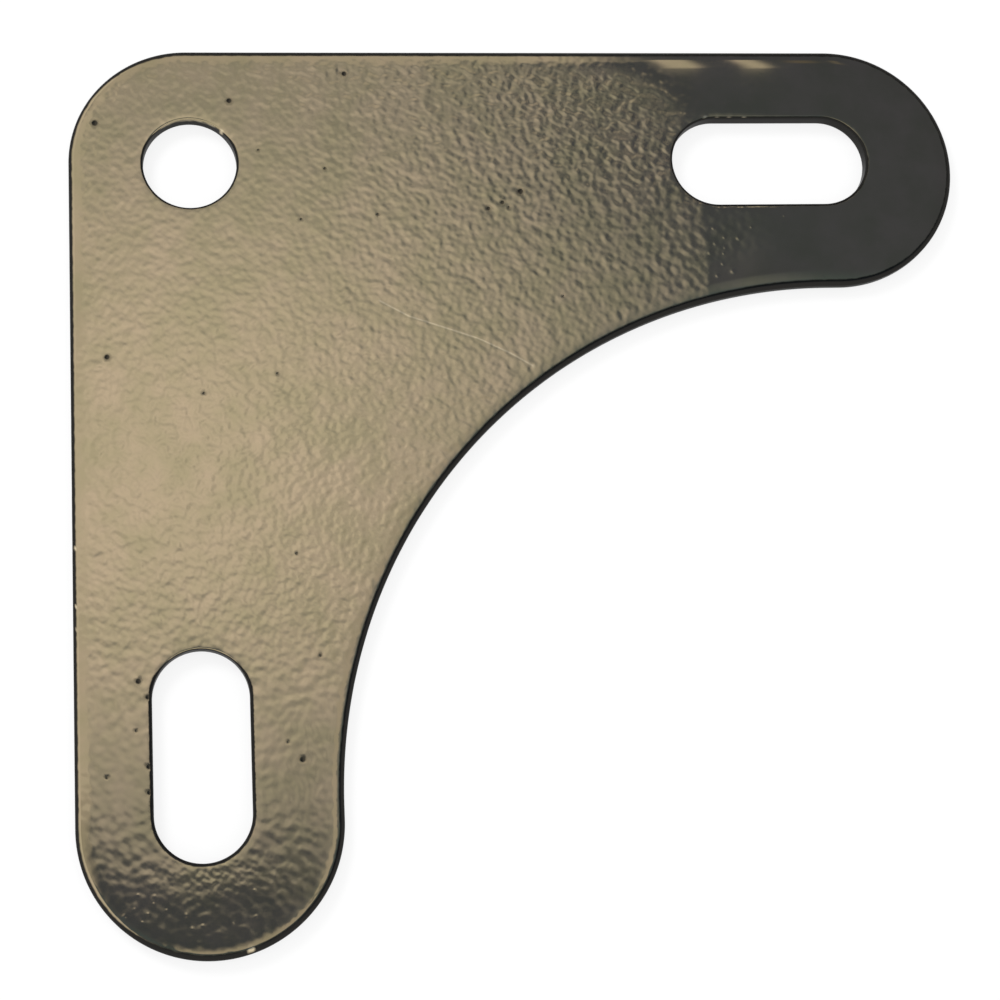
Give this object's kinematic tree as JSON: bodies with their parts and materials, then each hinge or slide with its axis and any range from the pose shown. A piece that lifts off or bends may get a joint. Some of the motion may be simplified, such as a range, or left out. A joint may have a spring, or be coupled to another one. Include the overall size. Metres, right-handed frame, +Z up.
{
  "type": "slotted corner plate",
  "caption": "Flat L-shaped steel corner plate with rounded ends, a round hole at the corner and a slot along each arm, for bolting two members together at a right angle.",
  "frame": {"origin": "centre of the corner hole, on the underside of the plate", "axes": "+Z up through the plate's thickness, +X along one arm, -Y along the other arm"},
  "size_m": [0.0999, 0.0999, 0.002],
  "materials": {
    "coat": "gloss bronze powder coat with orange peel, near black on the edges"
  },
  "bodies": {
    "root": {"corner_plate": "coat"}
  },
  "joints": []
}
